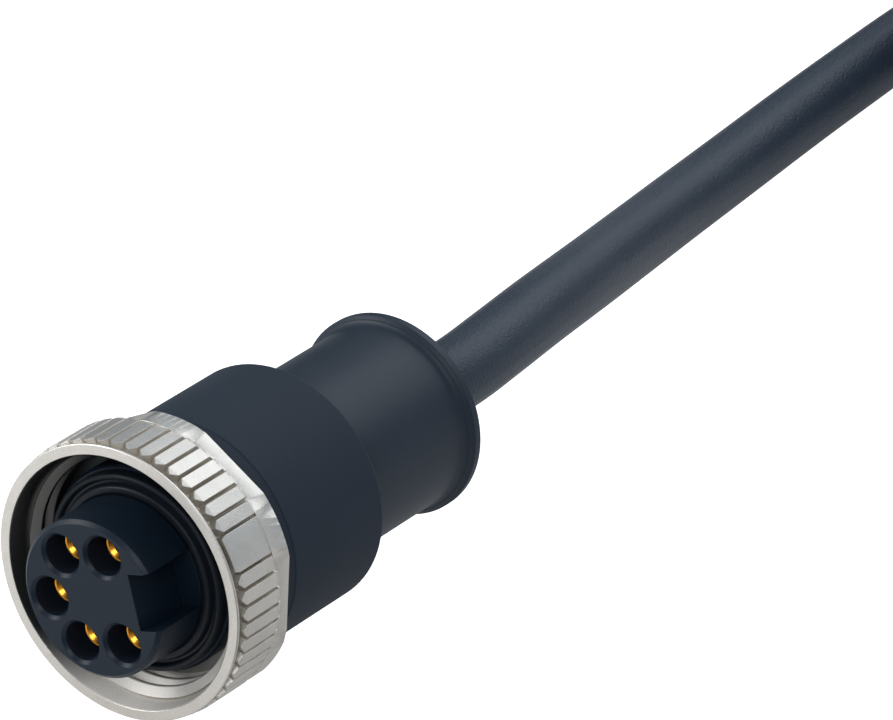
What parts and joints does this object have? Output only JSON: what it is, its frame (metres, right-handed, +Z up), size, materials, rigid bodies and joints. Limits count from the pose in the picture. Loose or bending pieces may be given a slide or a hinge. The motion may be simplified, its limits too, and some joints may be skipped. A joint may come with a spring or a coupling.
{
  "type": "7/8 inch circular cable connector with lead",
  "caption": "Moulded straight female circular connector with a keyed insert, knurled coupling nut and a folded lead with stripped ends.",
  "frame": {"origin": "bottom centre of the connector's own box, without its cord: below the axis, halfway between the insert's face and the cable exit, on the surface that the nut stands on", "axes": "+Y along the connector's axis from the mating face to the cable, +Z up, +X to the right seen from the mating face"},
  "size_m": [0.0629, 0.259, 0.0279],
  "materials": {
    "nickel_plate": "satin nickel plate, fine grain",
    "insert_plastic": "fine matte polyamide",
    "seal_rubber": "smooth moulded rubber",
    "gold_plate": "polished gold plate",
    "bare_copper": "bare stranded copper",
    "brown_core": "smooth core insulation",
    "white_core": "smooth core insulation",
    "blue_core": "smooth core insulation",
    "black_core": "smooth core insulation",
    "grey_core": "smooth core insulation",
    "pre_mould": "unfinished moulded plastic",
    "grip_plastic": "matte overmould, fine grain",
    "cable_jacket": "matte extruded jacket, fine pebble",
    "tie_fabric": "hook and loop strap"
  },
  "bodies": {
    "connector": {"contact_carrier": "insert_plastic", "face_seal": "seal_rubber", "contact_1": "gold_plate", "contact_2": "gold_plate", "contact_3": "gold_plate", "contact_4": "gold_plate", "contact_5": "gold_plate", "conductor_1": "bare_copper", "conductor_2": "bare_copper", "conductor_3": "bare_copper", "conductor_4": "bare_copper", "conductor_5": "bare_copper", "core_1": "brown_core", "core_2": "white_core", "core_3": "blue_core", "core_4": "black_core", "core_5": "grey_core", "inner_mould": "pre_mould", "grip_body": "grip_plastic", "cable_lead": "cable_jacket", "cable_hank": "cable_jacket", "cable_tail": "cable_jacket", "hank_tie": "tie_fabric", "tail_core_1": "brown_core", "tail_core_2": "white_core", "tail_core_3": "blue_core", "tail_core_4": "black_core", "tail_core_5": "grey_core", "tail_copper_1": "bare_copper", "tail_copper_2": "bare_copper", "tail_copper_3": "bare_copper", "tail_copper_4": "bare_copper", "tail_copper_5": "bare_copper"},
    "nut": {"coupling_nut": "nickel_plate"}
  },
  "joints": [
    {"name": "nut_turn", "type": "hinge", "parent": "connector", "child": "nut", "pos_m": [0, -0.0148, 0.0128], "axis": [0, 1, 0], "continuous": true}
  ]
}
